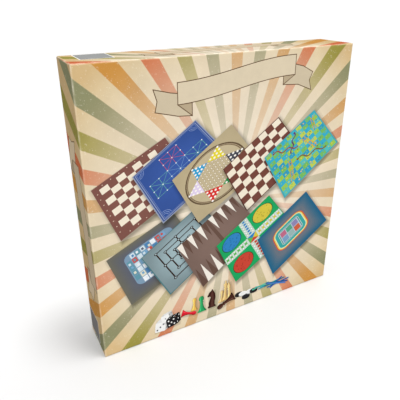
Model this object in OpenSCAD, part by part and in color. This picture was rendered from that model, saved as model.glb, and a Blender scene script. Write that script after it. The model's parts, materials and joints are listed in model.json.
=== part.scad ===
// Games compendium box: a telescoping set-up box that stands on one edge. It holds
// five double-sided game boards, a rules booklet and a formed insert tray with
// chessmen, draughts, pegs, dice and pick-up sticks.
// Millimetres, +Z up, lid facing -Y, origin under the middle of the standing edge.

/* [Box] */
// Width of the closed box
box_w = 270; // [264:1:300]
// Height of the closed box as it stands
box_h = 270; // [264:1:300]
// Depth of the closed box, from the back face to the face of the lid
box_t = 46; // [45:0.5:60]
// Thickness of the greyboard in both halves
greyboard_t = 1.5; // [1.2:0.1:2]
// Thickness of the printed wrapping paper
paper_t = 0.2; // [0.15:0.05:0.3]
// Radius of the wrapped outer edges
edge_r = 1.2; // [0.8:0.1:2]
// How far the paper is turned in over each rim
turn_in = 15; // [10:1:25]
// How far the back panel stands proud of the lid's rim
lid_reveal = 1.2; // [0.5:0.1:4]
// Running gap between the lid and the base, on each side
lid_gap = 0.5; // [0.3:0.1:0.8]
// Width of each leg of the stay paper that binds a corner
stay_w = 18; // [10:1:25]
// Thickness of the stay paper
stay_t = 0.15; // [0.1:0.05:0.2]

/* [Game boards] */
// Thickness of a game board's core
core_t = 1.6; // [1.2:0.1:1.8]
// Thickness of a printed face sheet
face_t = 0.2; // [0.15:0.05:0.25]
// Gap between a game board's edge and the wall, on each side
board_gap = 1.7; // [0.8:0.1:3]
// Radius of a game board's corners
board_r = 1.5; // [0.5:0.5:4]

/* [Rules booklet] */
// Width of the booklet
booklet_w = 148; // [120:1:200]
// Height of the booklet
booklet_h = 210; // [150:1:230]
// Thickness of the stack of pages
pages_t = 0.8; // [0.6:0.1:0.9]
// Thickness of the cover sheet
cover_t = 0.15; // [0.1:0.05:0.2]
// Distance between the two staples
staple_spacing = 110; // [80:1:130]

/* [Insert tray] */
// Thickness of the formed sheet
sheet_t = 0.6; // [0.4:0.1:0.8]
// Gap between the tray and the wall, on each side
tray_gap = 0.45; // [0.3:0.05:0.8]
// Clearance around each playing piece in its pocket
pocket_gap = 0.3; // [0.2:0.05:0.4]
// How far the pieces lie below the deck
sink = 0.6; // [0.4:0.1:1]
// Radius of the finger grooves
finger_r = 9; // [7:0.5:10]

/* [Chessmen] */
// Diameter of the foot of the large men
man_d = 22; // [19:0.5:23]
// Diameter of the foot of a chess pawn
pawn_d = 19; // [16:0.5:20]
// Height of the king
king_h = 56; // [53:1:58]
// Height of the queen
queen_h = 51; // [46:1:52]
// Height of the bishop
bishop_h = 45; // [42:1:50]
// Height of the knight
knight_h = 41; // [39:1:45]
// Height of the rook
rook_h = 35; // [33:1:42]
// Height of the pawn
pawn_h = 31; // [28:1:33]

/* [Draughts] */
// Diameter of a draughtsman
draught_d = 24; // [21:0.5:25]
// Thickness of a draughtsman
draught_t = 5; // [4:0.25:5.5]
// Draughtsmen of each colour
draught_count = 15; // [12:1:15]

/* [Pegs and dice] */
// Height of a peg
peg_h = 24; // [20:0.5:25]
// Diameter of a peg's foot
peg_d = 12.5; // [11:0.5:13]
// Pegs of each colour
peg_count = 4; // [2:1:4]
// Edge of a die
die = 16; // [14:0.5:17]
// Diameter of a pip
pip_d = 2.8; // [2:0.1:3.2]

/* [Pick-up sticks] */
// Length of a stick
stick_l = 180; // [160:1:200]
// Diameter of a stick
stick_d = 3; // [2.5:0.1:3.2]
// Length of a stick's pointed end
stick_tip = 9; // [6:1:15]

/* [Hidden] */
$fn = 48;
seat = 0.3;              // gap between things that rest on each other
score_gap = 0.2;         // slit left between two folded walls
roll_slack = 0.1;        // play between stacked draughtsmen
stick_slack = 0.05;      // play between bundled sticks
over = 1;                // how far a cutting shape runs past what it cuts

BLACK = 0;
BLUE = 1;
GREEN = 2;
YELLOW = 3;
RED = 4;
STICK_COLOURS = ["#202024", "#1f4f9e", "#1d8a4a", "#e6b422", "#c8262c"];
FACE_COLOURS = [
    ["#9c5f52", "#2f55b4"],
    ["#8a4a4a", "#7d9aa0"],
    ["#cdb98c", "#6b6a76"],
    ["#3fb4c4", "#2aa866"],
    ["#8f7468", "#3b6f9e"]];
board_count = len(FACE_COLOURS);

// The two halves of the box
panel_t = greyboard_t + paper_t;
lid_depth = box_t - lid_reveal;
lid_clear_w = box_w - 2 * greyboard_t - 4 * paper_t;
lid_clear_h = box_h - 2 * greyboard_t - 4 * paper_t;
base_w = lid_clear_w - 2 * lid_gap;
base_h = lid_clear_h - 2 * lid_gap;
base_depth = box_t - panel_t - lid_gap;
base_clear_w = base_w - 2 * greyboard_t - 4 * paper_t;
base_clear_h = base_h - 2 * greyboard_t - 4 * paper_t;

// What is stacked in the base, from the lid's panel down to the deck of the tray
booklet_t = pages_t + 2 * cover_t;
game_board_t = core_t + 2 * face_t;
booklet_z = box_t - panel_t - seat - booklet_t;
function board_z(i) = booklet_z - (i + 1) * (game_board_t + seat);
game_board_w = base_clear_w - 2 * board_gap;
game_board_h = base_clear_h - 2 * board_gap;
drop = board_gap - seat; // the boards and the booklet stand on the lower wall
booklet_y = (booklet_h - base_clear_h) / 2 + seat;

// The insert tray, and the rows and columns of its pockets
tray_w = base_clear_w - 2 * tray_gap;
tray_h = base_clear_h - 2 * tray_gap;
tray_z = panel_t + seat;
deck_z = board_z(board_count - 1) - seat;
trough_r = man_d / 2 + pocket_gap;
trough_l = king_h + pawn_h + 3 * pocket_gap;
draught_r = draught_d / 2 + pocket_gap;
draught_pitch = draught_t + roll_slack;
draught_l = draught_count * draught_pitch - roll_slack + 2 * pocket_gap;
files = 8;
rib_x = (tray_w - files * 2 * trough_r - 2 * draught_r) / (files + 2);
stick_pitch = stick_d + stick_slack;
stick_row = 6;
stick_rows = 6;
slot_w = stick_row * stick_pitch + 2 * pocket_gap;
slot_l = stick_l + 2 * pocket_gap;
slot_depth = ((stick_rows - 1) * sin(60) + 1) * stick_pitch + pocket_gap / 2 + sink;
peg_cols = 8;
peg_rows = 2;
peg_well_d = peg_d + 2 * pocket_gap;
peg_pitch = peg_well_d + 3 * sheet_t;
peg_band = (peg_rows - 1) * peg_pitch + peg_well_d;
rib_y = (tray_h - 2 * trough_l - peg_band - slot_w) / 5;
function trough_x(file) = -tray_w / 2 + rib_x + trough_r + file * (2 * trough_r + rib_x);
function trough_y(side) = -tray_h / 2 + rib_y + side * (trough_l + rib_y);
draught_x = trough_x(files - 1) + trough_r + rib_x + draught_r;
function draught_y(side) = trough_y(side) + (trough_l - draught_l) / 2;
peg_y0 = trough_y(1) + trough_l + rib_y + peg_well_d / 2;
slot_y = peg_y0 + peg_band - peg_well_d / 2 + rib_y + slot_w / 2;
white_dice_count = 5;
black_dice_count = 2;
dice_counts = [white_dice_count, black_dice_count];
function dice_well_w(n) = n * (die + pocket_gap) + pocket_gap;
peg_field_w = (peg_cols - 1) * peg_pitch + peg_well_d;
rib_top = (tray_w - peg_field_w - dice_well_w(white_dice_count) - dice_well_w(black_dice_count)) / 4;
peg_x0 = -tray_w / 2 + rib_top + peg_well_d / 2;
function dice_x(kind) = peg_x0 - peg_well_d / 2 + peg_field_w + rib_top
    + (kind == 0 ? 0 : dice_well_w(white_dice_count) + rib_top);
dice_y = peg_y0 - peg_well_d / 2 + peg_band / 2;
dice_well_h = die + 2 * pocket_gap;
man_z = deck_z - sink - man_d / 2;
draught_axis_z = deck_z - sink - draught_d / 2;
heads_y = king_h + pocket_gap; // where the heads meet in a trough
finger_reach = 5;              // how far a finger groove runs past its pocket

// Shared shapes

module stand_up() {
    translate([0, box_t / 2, box_h / 2]) rotate([90, 0, 0]) children();
}

module rounded_rect(w, h, r) {
    square([w - 2 * r, h], center = true);
    square([w, h - 2 * r], center = true);
    for (sx = [-1, 1], sy = [-1, 1])
        translate([sx * (w / 2 - r), sy * (h / 2 - r)]) circle(r);
}

// Side view of a block from z0 to z1 with its two upper corners rounded
module crowned_profile(w, z0, z1, r) {
    translate([-w / 2, z0]) square([w, z1 - r - z0]);
    translate([r - w / 2, z0]) square([w - 2 * r, z1 - z0]);
    for (s = [-1, 1]) translate([s * (w / 2 - r), z1 - r]) circle(r);
}

// A block with rounded upright corners and a rounded edge round its top
module crowned_block(w, h, z0, z1, r) {
    intersection() {
        translate([0, 0, z0]) linear_extrude(z1 - z0) rounded_rect(w, h, r);
        rotate([90, 0, 0]) linear_extrude(h + over, center = true) crowned_profile(w, z0, z1, r);
        rotate([90, 0, 90]) linear_extrude(w + over, center = true) crowned_profile(h, z0, z1, r);
    }
}

module block(w, h, z0, z1) {
    translate([-w / 2, -h / 2, z0]) cube([w, h, z1 - z0]);
}

// Half of the box, rim at z = 0 and panel at z = d. Both halves use these three.

module stay_sleeve(w, h, d) {
    difference() {
        linear_extrude(d - panel_t - edge_r - paper_t)
            rounded_rect(w - 2 * paper_t, h - 2 * paper_t, edge_r - paper_t);
        translate([0, 0, -over]) linear_extrude(d)
            rounded_rect(w - 2 * paper_t - 2 * stay_t, h - 2 * paper_t - 2 * stay_t, edge_r - paper_t - stay_t);
        block(w - 2 * stay_w, 2 * h, -over, d);
        block(2 * w, h - 2 * stay_w, -over, d);
    }
}

module corner_stays(w, h, d) {
    color("#c9b48c") translate([0, 0, paper_t]) stay_sleeve(w, h, d);
}

module board_shell(w, h, d) {
    wall_w = w - 2 * paper_t;
    wall_h = h - 2 * paper_t;
    color("#a89f92") difference() {
        crowned_block(wall_w, wall_h, paper_t, d - paper_t, edge_r - paper_t);
        block(wall_w - 2 * greyboard_t, wall_h - 2 * greyboard_t, -over, d - panel_t);
        translate([0, 0, paper_t]) stay_sleeve(w, h, d);
        for (sx = [-1, 1], sy = [-1, 1])
            translate([sx * (wall_w / 2 - greyboard_t / 2), sy * (wall_h / 2 - greyboard_t / 2), -over])
                rotate([0, 0, sx * sy * 45])
                    translate([-2 * greyboard_t, -score_gap / 2, 0])
                        cube([4 * greyboard_t, score_gap, d - panel_t + over]);
    }
}

module wrap_shell(w, h, d) {
    wall_w = w - 2 * paper_t;
    wall_h = h - 2 * paper_t;
    fold_w = wall_w - 2 * greyboard_t;
    fold_h = wall_h - 2 * greyboard_t;
    color("#e6d6b8") {
        difference() {
            crowned_block(w, h, 0, d, edge_r);
            crowned_block(wall_w, wall_h, paper_t, d - paper_t, edge_r - paper_t);
            block(fold_w - 2 * paper_t, fold_h - 2 * paper_t, -over, paper_t + over);
        }
        difference() {
            block(fold_w, fold_h, 0, turn_in);
            block(fold_w - 2 * paper_t, fold_h - 2 * paper_t, -over, turn_in + over);
        }
    }
}

// The flap of a wrap that covers the lower wall, which the box stands on. It ends
// clear of the rounded edges, and as a cutter it runs out past the wrap.
module lower_flap(w, h, d, past = 0) {
    inset = 2 * edge_r;
    color("#e6d6b8") translate([inset - w / 2, -h / 2 - past, -past])
        cube([w - 2 * inset, paper_t + past, d - inset + past]);
}

module place_lid() {
    stand_up() translate([0, 0, lid_reveal]) children();
}

module place_base() {
    stand_up() translate([0, 0, base_depth]) rotate([180, 0, 0]) children();
}

module lid_wrap() {
    place_lid() difference() {
        wrap_shell(box_w, box_h, lid_depth);
        lower_flap(box_w, box_h, lid_depth, over);
    }
}

// Insert tray. Each pocket is drawn twice: grown by the sheet's thickness for the
// formed shell, and at its own size for what is hollow.

module trough(x, y, length, r, axis_z, grow) {
    top = deck_z + (grow > 0 ? 0 : over);
    translate([x, y + length + grow, axis_z]) rotate([90, 0, 0]) linear_extrude(length + 2 * grow) {
        circle(r + grow);
        translate([-r - grow, 0]) square([2 * (r + grow), top - axis_z]);
    }
}

module well(x0, y0, w, h, depth, grow) {
    top = deck_z + (grow > 0 ? 0 : over);
    translate([x0 - grow, y0 - grow, deck_z - depth - grow])
        cube([w + 2 * grow, h + 2 * grow, top - deck_z + depth + grow]);
}

module round_well(x, y, d, depth, grow) {
    top = deck_z + (grow > 0 ? 0 : over);
    translate([x, y, deck_z - depth - grow]) cylinder(d = d + 2 * grow, h = top - deck_z + depth + grow);
}

// A groove across a pocket, with its axis at the deck
module finger_groove(x0, x1, y, grow) {
    intersection() {
        translate([x0 - grow, y, deck_z]) rotate([0, 90, 0]) cylinder(r = finger_r + grow, h = x1 - x0 + 2 * grow);
        block(tray_w, tray_h, tray_z, deck_z + (grow > 0 ? 0 : over));
    }
}

module finger_scoop(x, y0, y1, grow) {
    intersection() {
        translate([x, y1 + grow, deck_z]) rotate([90, 0, 0]) cylinder(r = finger_r + grow, h = y1 - y0 + 2 * grow);
        block(tray_w, tray_h, tray_z, deck_z + (grow > 0 ? 0 : over));
    }
}

module pockets(grow) {
    for (side = [0, 1]) {
        for (file = [0 : files - 1])
            trough(trough_x(file), trough_y(side), trough_l, trough_r, man_z, grow);
        finger_groove(trough_x(0), trough_x(files - 1), trough_y(side) + heads_y, grow);
        trough(draught_x, draught_y(side), draught_l, draught_r, draught_axis_z, grow);
        finger_groove(draught_x - draught_r - finger_reach / 2, draught_x + draught_r + finger_reach / 2,
            draught_y(side) + draught_l / 2, grow);
    }
    for (col = [0 : peg_cols - 1], row = [0 : peg_rows - 1])
        round_well(peg_x0 + col * peg_pitch, peg_y0 + row * peg_pitch, peg_well_d,
            peg_h + sink + pocket_gap, grow);
    for (kind = [0, 1]) {
        well_w = dice_well_w(dice_counts[kind]);
        well(dice_x(kind), dice_y - dice_well_h / 2, well_w, dice_well_h,
            die + sink + pocket_gap, grow);
        finger_scoop(dice_x(kind) + well_w / 2, dice_y - dice_well_h / 2 - finger_reach,
            dice_y + dice_well_h / 2 + finger_reach, grow);
    }
    well(-slot_l / 2, slot_y - slot_w / 2, slot_l, slot_w, slot_depth, grow);
    finger_scoop(0, slot_y - slot_w / 2 - finger_reach, slot_y + slot_w / 2 + finger_reach, grow);
}

module insert_tray() {
    color("#2b2926") stand_up() difference() {
        union() {
            translate([0, 0, deck_z - sheet_t]) linear_extrude(sheet_t) rounded_rect(tray_w, tray_h, 3);
            difference() {
                translate([0, 0, tray_z]) linear_extrude(deck_z - tray_z) rounded_rect(tray_w, tray_h, 3);
                translate([0, 0, tray_z - over]) linear_extrude(deck_z - tray_z + over)
                    rounded_rect(tray_w - 2 * sheet_t, tray_h - 2 * sheet_t, 3 - sheet_t);
            }
            pockets(sheet_t);
        }
        pockets(0);
    }
}

// Game boards and booklet

module sheet_plate(w, h, t, r) {
    linear_extrude(t) rounded_rect(w, h, r);
}

module board_core(i) {
    color("#9a9186") stand_up() translate([0, -drop, board_z(i) + face_t])
        sheet_plate(game_board_w, game_board_h, core_t, board_r);
}

module board_face(i, side) {
    color(FACE_COLOURS[i][side]) stand_up()
        translate([0, -drop, board_z(i) + (side == 0 ? face_t + core_t : 0)])
            sheet_plate(game_board_w, game_board_h, face_t, board_r);
}

module place_booklet() {
    stand_up() translate([0, booklet_y, booklet_z]) children();
}

module booklet_cover() {
    color("#efe6d2") place_booklet() difference() {
        block(booklet_w, booklet_h, 0, booklet_t);
        translate([cover_t - booklet_w / 2, -booklet_h / 2 - over, cover_t])
            cube([booklet_w, booklet_h + 2 * over, pages_t]);
    }
}

module booklet_pages() {
    color("#fbfaf5") place_booklet()
        translate([cover_t - booklet_w / 2, -booklet_h / 2, cover_t])
            cube([booklet_w - cover_t - 0.5, booklet_h, pages_t]);
}

module booklet_staples() {
    wire = 0.5;
    crown = 12;
    color("silver") place_booklet() for (s = [-1, 1])
        translate([-booklet_w / 2, s * staple_spacing / 2 + crown / 2, booklet_t / 2])
            rotate([90, 0, 0]) difference() {
                cylinder(d = wire, h = crown);
                translate([0, -wire, -over]) cube([wire, 2 * wire, crown + 2 * over]);
            }
}

// Chessmen. Each profile is a half section, with the axis of the piece at x = 0.

module right_half() {
    intersection() {
        children();
        translate([0, -over]) square([2 * king_h, 2 * king_h]);
    }
}

// A foot: a disc with a rounded rim, a step on it, and a bead round the step
rim_r = 0.9;
rim_band = 0.8;          // straight part between the rim's two rounds
disc_t = 2 * rim_r + rim_band;
step_in = 2.4;           // how far the step lies inside the rim
step_z = 4.6;
bead_r = 1.1;
bead_in = 2.9;
bead_z = 4;
foot_top = 4.4;          // where what stands on the foot begins

module foot_profile(r) {
    square([r - rim_r, disc_t]);
    translate([0, rim_r]) square([r, rim_band]);
    for (z = [rim_r, disc_t - rim_r]) translate([r - rim_r, z]) circle(rim_r);
    square([r - step_in, step_z]);
    translate([r - bead_in, bead_z]) circle(bead_r);
}

// A stem that narrows from r0 at z0 to r1 at z1 along an arc
module stem_profile(r0, r1, z0, z1) {
    fall = r0 - r1;
    arc_r = (fall * fall + (z1 - z0) * (z1 - z0)) / (2 * fall);
    difference() {
        translate([0, z0]) square([r0, z1 - z0]);
        translate([r1 + arc_r, z1]) circle(arc_r, $fn = 120);
    }
}

module collar_profile(r, z, t) {
    translate([0, z]) square([r, t]);
    translate([r, z + t / 2]) circle(t / 2);
}

// A cup that widens from r0 at z0 to r1 at z1
module cup_profile(r0, r1, z0, z1) {
    polygon([[0, z0], [r0, z0], [r1, z1], [0, z1]]);
}

module turned() {
    rotate_extrude() children();
}

module pawn_man() {
    stem_r = pawn_d / 2 - 3.2;
    neck_r = pawn_d * 0.14;
    collar_r = pawn_d * 0.24;
    ball_r = pawn_d * 0.26;
    neck_z = pawn_h - 1.8 * ball_r;
    turned() right_half() {
        foot_profile(pawn_d / 2);
        stem_profile(stem_r, neck_r, foot_top, neck_z);
        collar_profile(collar_r, neck_z - 1.7, 1.4);
        translate([0, pawn_h - ball_r]) circle(ball_r);
    }
}

module rook_man() {
    stem_r = man_d / 2 - 3.6;
    neck_r = man_d * 0.21;
    head_r = man_d * 0.31;
    head_z = rook_h - 9;
    flare_h = 3;
    well_depth = 4;
    wall_t = 2;
    notch_w = 1.8;
    notch_depth = 2.4;
    difference() {
        turned() right_half() {
            foot_profile(man_d / 2);
            stem_profile(stem_r, neck_r, foot_top, head_z);
            collar_profile(head_r - 0.6, head_z - 1.2, 1.6);
            cup_profile(neck_r, head_r, head_z, head_z + flare_h);
            translate([0, head_z + flare_h]) square([head_r, rook_h - head_z - flare_h]);
        }
        translate([0, 0, rook_h - well_depth]) cylinder(r = head_r - wall_t, h = well_depth + over);
        for (turn = [0 : 60 : 120]) rotate([0, 0, turn])
            translate([-man_d, -notch_w / 2, rook_h - notch_depth])
                cube([2 * man_d, notch_w, notch_depth + over]);
    }
}

module bishop_man() {
    stem_r = man_d / 2 - 3.6;
    neck_r = man_d * 0.15;
    head_z = bishop_h - 17;
    mitre_r = man_d * 0.41;   // the mitre is where two such arcs overlap
    mitre_off = man_d * 0.17;
    knob_r = 1.8;
    cut_w = 1;
    cut_depth = 12;
    cut_lean = 40;
    difference() {
        turned() right_half() {
            foot_profile(man_d / 2);
            stem_profile(stem_r, neck_r, foot_top, head_z);
            collar_profile(man_d * 0.26, head_z - 1.4, 1.5);
            collar_profile(man_d * 0.2, head_z + 0.6, 1.2);
            intersection_for (s = [-1, 1])
                translate([-s * mitre_off, head_z + 8]) circle(mitre_r);
            translate([0, bishop_h - knob_r]) circle(knob_r);
        }
        translate([man_d * 0.1, 0, head_z + 9]) rotate([0, cut_lean, 0])
            translate([-cut_w / 2, -man_d / 2, 0]) cube([cut_w, man_d, cut_depth]);
    }
}

module queen_man() {
    stem_r = man_d / 2 - 3.4;
    neck_r = man_d * 0.15;
    crown_r = man_d * 0.3;
    head_z = queen_h - 15;
    crown_z = queen_h - 4;
    knob_r = 2.2;
    scallop_d = 3;
    difference() {
        turned() right_half() {
            foot_profile(man_d / 2);
            stem_profile(stem_r, neck_r, foot_top, head_z);
            collar_profile(man_d * 0.28, head_z - 1.4, 1.6);
            collar_profile(man_d * 0.2, head_z + 0.8, 1.2);
            cup_profile(neck_r, crown_r, head_z, crown_z);
            translate([0, queen_h - knob_r]) circle(knob_r);
        }
        for (turn = [0 : 45 : 315]) rotate([0, 0, turn])
            translate([man_d * 0.2, 0, crown_z]) rotate([0, 90, 0]) cylinder(d = scallop_d, h = man_d);
    }
}

module king_man() {
    stem_r = man_d / 2 - 3.4;
    neck_r = man_d * 0.16;
    crown_r = man_d * 0.29;
    head_z = king_h - 18;
    crown_z = king_h - 7.5;
    lid_h = 1.8;
    arm = 2;
    turned() right_half() {
        foot_profile(man_d / 2);
        stem_profile(stem_r, neck_r, foot_top, head_z);
        collar_profile(man_d * 0.29, head_z - 1.4, 1.6);
        collar_profile(man_d * 0.21, head_z + 0.8, 1.2);
        cup_profile(neck_r, crown_r, head_z, crown_z);
        cup_profile(crown_r, man_d * 0.12, crown_z, crown_z + lid_h);
    }
    translate([0, arm / 2, crown_z + over]) rotate([90, 0, 0]) linear_extrude(arm) {
        translate([-arm / 2, 0]) square([arm, king_h - crown_z - over]);
        translate([-arm * 1.3, king_h - crown_z - 2.2 * arm]) square([2.6 * arm, arm]);
    }
}

// Side view of the horse's head and neck, muzzle towards +x, one unit wide each way and one high
module horse_outline() {
    polygon([[-0.66, 0], [0.66, 0], [0.62, 0.1], [0.46, 0.22], [0.3, 0.33], [0.26, 0.42], [0.34, 0.46],
        [0.55, 0.4], [0.72, 0.36], [0.88, 0.38], [0.95, 0.46], [0.9, 0.55], [0.62, 0.7], [0.42, 0.8],
        [0.3, 0.88], [0.14, 0.91], [0.02, 1], [-0.1, 0.93], [-0.34, 0.88], [-0.58, 0.74],
        [-0.74, 0.56], [-0.8, 0.36], [-0.76, 0.16]]);
}

MANE = [[-0.84, 0.24], [-0.84, 0.42], [-0.74, 0.6], [-0.54, 0.78]];

module knight_man() {
    r = man_d / 2;
    rise = knight_h - foot_top;
    thick = man_d * 0.4;
    muzzle = man_d * 0.24;
    eye_r = 0.9;
    nostril_r = 0.6;
    mouth_t = 0.7;
    lock_d = 2.2;
    difference() {
        union() {
            turned() right_half() {
                foot_profile(r);
                collar_profile(r * 0.7, foot_top, 1.4);
            }
            translate([0, 0, foot_top]) intersection() {
                rotate([90, 0, 0]) linear_extrude(thick, center = true) scale([r, rise]) horse_outline();
                rotate([90, 0, 90]) linear_extrude(man_d, center = true)
                    polygon([[-thick / 2, 0], [thick / 2, 0], [thick / 2, rise * 0.55],
                        [thick * 0.28, rise], [-thick * 0.28, rise], [-thick / 2, rise * 0.55]]);
                linear_extrude(rise)
                    polygon([[-r, -thick / 2], [r * 0.25, -thick / 2], [r, -muzzle / 2],
                        [r, muzzle / 2], [r * 0.25, thick / 2], [-r, thick / 2]]);
            }
        }
        translate([0, 0, foot_top]) {
            for (s = [-1, 1]) {
                translate([r * 0.3, s * thick * 0.42, rise * 0.74]) sphere(eye_r);
                translate([r * 0.84, s * muzzle * 0.58, rise * 0.48]) sphere(nostril_r);
            }
            translate([r * 0.66, -man_d / 2, rise * 0.42]) rotate([0, -20, 0]) cube([r / 2, man_d, mouth_t]);
            for (lock = MANE) translate([lock[0] * r, 0, lock[1] * rise])
                rotate([90, 0, 0]) cylinder(d = lock_d, h = man_d, center = true);
        }
    }
}

// Lays a man in the trough of a file: its foot towards the edge, or turned about
module lay_man(file, side, foot_d, turned_about) {
    y = turned_about ? trough_l - pocket_gap : pocket_gap;
    stand_up() translate([trough_x(file), trough_y(side) + y, man_z - (man_d - foot_d) / 2])
        rotate([turned_about ? 90 : -90, 0, 0]) children();
}

LIGHT = "#e0b878";
DARK = "#3a211a";
ROOK_FILES = [0, 7];
KNIGHT_FILES = [1, 6];
BISHOP_FILES = [2, 5];
QUEEN_FILE = 3;
KING_FILE = 4;

module king(side, c) {
    color(c) lay_man(KING_FILE, side, man_d, false) king_man();
}

module queen(side, c) {
    color(c) lay_man(QUEEN_FILE, side, man_d, false) queen_man();
}

module bishops(side, c) {
    color(c) for (file = BISHOP_FILES) lay_man(file, side, man_d, false) bishop_man();
}

module knights(side, c) {
    color(c) for (file = KNIGHT_FILES) lay_man(file, side, man_d, false) knight_man();
}

module rooks(side, c) {
    color(c) for (file = ROOK_FILES) lay_man(file, side, man_d, false) rook_man();
}

module pawns(side, c) {
    color(c) for (file = [0 : files - 1]) lay_man(file, side, pawn_d, true) pawn_man();
}

// Draughts, pegs, dice and sticks

module draughtsman() {
    r = draught_d / 2;
    rim = 0.8;
    ring_r = 0.6;      // two rings are turned into each face
    hollow = 0.7;      // and a shallow hollow in its middle
    turned() difference() {
        union() {
            square([r - rim, draught_t]);
            translate([0, rim]) square([r, draught_t - 2 * rim]);
            for (z = [rim, draught_t - rim]) translate([r - rim, z]) circle(rim);
        }
        for (z = [0, draught_t]) {
            translate([r * 0.72, z]) circle(ring_r);
            translate([r * 0.5, z]) circle(ring_r);
            translate([-over, z - hollow]) square([r * 0.3 + over, 2 * hollow]);
        }
    }
}

module draughts(side, c) {
    color(c) stand_up() for (i = [0 : draught_count - 1])
        translate([draught_x, draught_y(side) + pocket_gap + i * draught_pitch, draught_axis_z])
            rotate([-90, 0, 0]) draughtsman();
}

module peg() {
    rim = 0.6;
    foot_t = 3 * rim;
    stem_r = peg_d / 2 - 1;
    neck_r = peg_d * 0.13;
    ball_r = peg_d * 0.27;
    turned() right_half() {
        square([peg_d / 2 - rim, foot_t]);
        translate([0, rim]) square([peg_d / 2, rim]);
        for (z = [rim, 2 * rim]) translate([peg_d / 2 - rim, z]) circle(rim);
        stem_profile(stem_r, neck_r, foot_t, peg_h - 1.8 * ball_r);
        translate([0, peg_h - ball_r]) circle(ball_r);
    }
}

// One colour fills two columns of the field of wells
module pegs(set, c) {
    color(c) stand_up() for (i = [0 : peg_count - 1])
        translate([peg_x0 + (2 * set + i % 2) * peg_pitch, peg_y0 + floor(i / 2) * peg_pitch,
            deck_z - sink - peg_h])
            peg();
}

module pips(places) {
    for (p = places) translate([p[0] * die * 0.26, p[1] * die * 0.26, die / 2 + pip_d * 0.22])
        sphere(d = pip_d);
}

PIPS_1 = [[0, 0]];
PIPS_2 = [[-1, -1], [1, 1]];
PIPS_4 = [[-1, -1], [-1, 1], [1, -1], [1, 1]];
PIPS_6 = concat(PIPS_4, [[-1, 0], [1, 0]]);

module spotted_die() {
    difference() {
        intersection() {
            cube(die, center = true);
            sphere(d = die * 1.42, $fn = 96);
        }
        pips(PIPS_1);
        rotate([180, 0, 0]) pips(PIPS_6);
        rotate([90, 0, 0]) pips(PIPS_2);
        rotate([-90, 0, 0]) pips(concat(PIPS_4, PIPS_1));
        rotate([0, 90, 0]) pips(concat(PIPS_2, PIPS_1));
        rotate([0, -90, 0]) pips(PIPS_4);
    }
}

DIE_TURNS = [[0, 0, 0], [90, 0, 0], [0, 90, 0], [180, 0, 0], [-90, 0, 0]];

module dice(kind, c) {
    color(c) stand_up() for (i = [0 : dice_counts[kind] - 1])
        translate([dice_x(kind) + pocket_gap + die / 2 + i * (die + pocket_gap), dice_y,
            deck_z - sink - die / 2])
            rotate(DIE_TURNS[(i + 3 * kind) % 5]) spotted_die();
}

module stick() {
    tip_r = 0.3;
    rotate([0, 90, 0]) turned()
        polygon([[0, 0], [tip_r, 0], [stick_d / 2, stick_tip], [stick_d / 2, stick_l - stick_tip],
            [tip_r, stick_l], [0, stick_l]]);
}

// The place of stick n in the packed rows: full rows of six take turns with rows of five
function stick_pair(n) = floor(n / 11);
function stick_left(n) = n % 11;
function stick_at(n) = stick_left(n) < stick_row
    ? [stick_left(n), 2 * stick_pair(n)]
    : [stick_left(n) - stick_row + 0.5, 2 * stick_pair(n) + 1];

// Which sticks have a colour: the one black stick is the last, the rest take turns
stick_total = 31;
function sticks_of(c) = c == BLACK ? [stick_total - 1] : [for (n = [c - 1 : 4 : stick_total - 2]) n];

module sticks(c) {
    color(STICK_COLOURS[c]) stand_up() for (n = sticks_of(c))
        translate([-stick_l / 2,
            slot_y - slot_w / 2 + pocket_gap + stick_pitch * (stick_at(n)[0] + 0.5),
            deck_z - slot_depth + pocket_gap / 2 + stick_pitch * (0.5 + stick_at(n)[1] * sin(60))])
            stick();
}

place_lid() board_shell(box_w, box_h, lid_depth);  // lid_board
lid_wrap();
place_lid() lower_flap(box_w, box_h, lid_depth);  // lid_wrap_standing_flap
place_lid() corner_stays(box_w, box_h, lid_depth);  // lid_corner_stays
place_base() board_shell(base_w, base_h, base_depth);  // base_board
place_base() wrap_shell(base_w, base_h, base_depth);  // base_wrap
place_base() corner_stays(base_w, base_h, base_depth);  // base_corner_stays
insert_tray();
booklet_cover();
booklet_pages();
booklet_staples();
board_core(0);  // chess_board_core
board_face(0, 0);  // chess_face
board_face(0, 1);  // alquerque_face
board_core(1);  // draughts_board_core
board_face(1, 0);  // draughts_face
board_face(1, 1);  // morris_face
board_core(2);  // star_board_core
board_face(2, 0);  // star_face
board_face(2, 1);  // spiral_race_face
board_core(3);  // ladders_board_core
board_face(3, 0);  // ladders_face
board_face(3, 1);  // cross_race_face
board_core(4);  // backgammon_board_core
board_face(4, 0);  // backgammon_face
board_face(4, 1);  // oval_race_face
king(1, LIGHT);  // light_king
queen(1, LIGHT);  // light_queen
bishops(1, LIGHT);  // light_bishops
knights(1, LIGHT);  // light_knights
rooks(1, LIGHT);  // light_rooks
pawns(1, LIGHT);  // light_pawns
king(0, DARK);  // dark_king
queen(0, DARK);  // dark_queen
bishops(0, DARK);  // dark_bishops
knights(0, DARK);  // dark_knights
rooks(0, DARK);  // dark_rooks
pawns(0, DARK);  // dark_pawns
draughts(1, "#f2efe8");  // white_draughts
draughts(0, "#1d1c1f");  // black_draughts
pegs(0, "#c8202c");  // red_pegs
pegs(1, "#e8b427");  // yellow_pegs
pegs(2, "#1f9a4c");  // green_pegs
pegs(3, "#1f55a8");  // blue_pegs
dice(0, "#f4f2ec");  // white_dice
dice(1, "#1a1a1c");  // black_dice
sticks(BLUE);  // blue_sticks
sticks(GREEN);  // green_sticks
sticks(YELLOW);  // yellow_sticks
sticks(RED);  // red_sticks
sticks(BLACK);  // black_stick
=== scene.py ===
import json
import math
import random

import bpy
import numpy as np
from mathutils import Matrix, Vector
from mathutils.geometry import delaunay_2d_cdt

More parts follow.
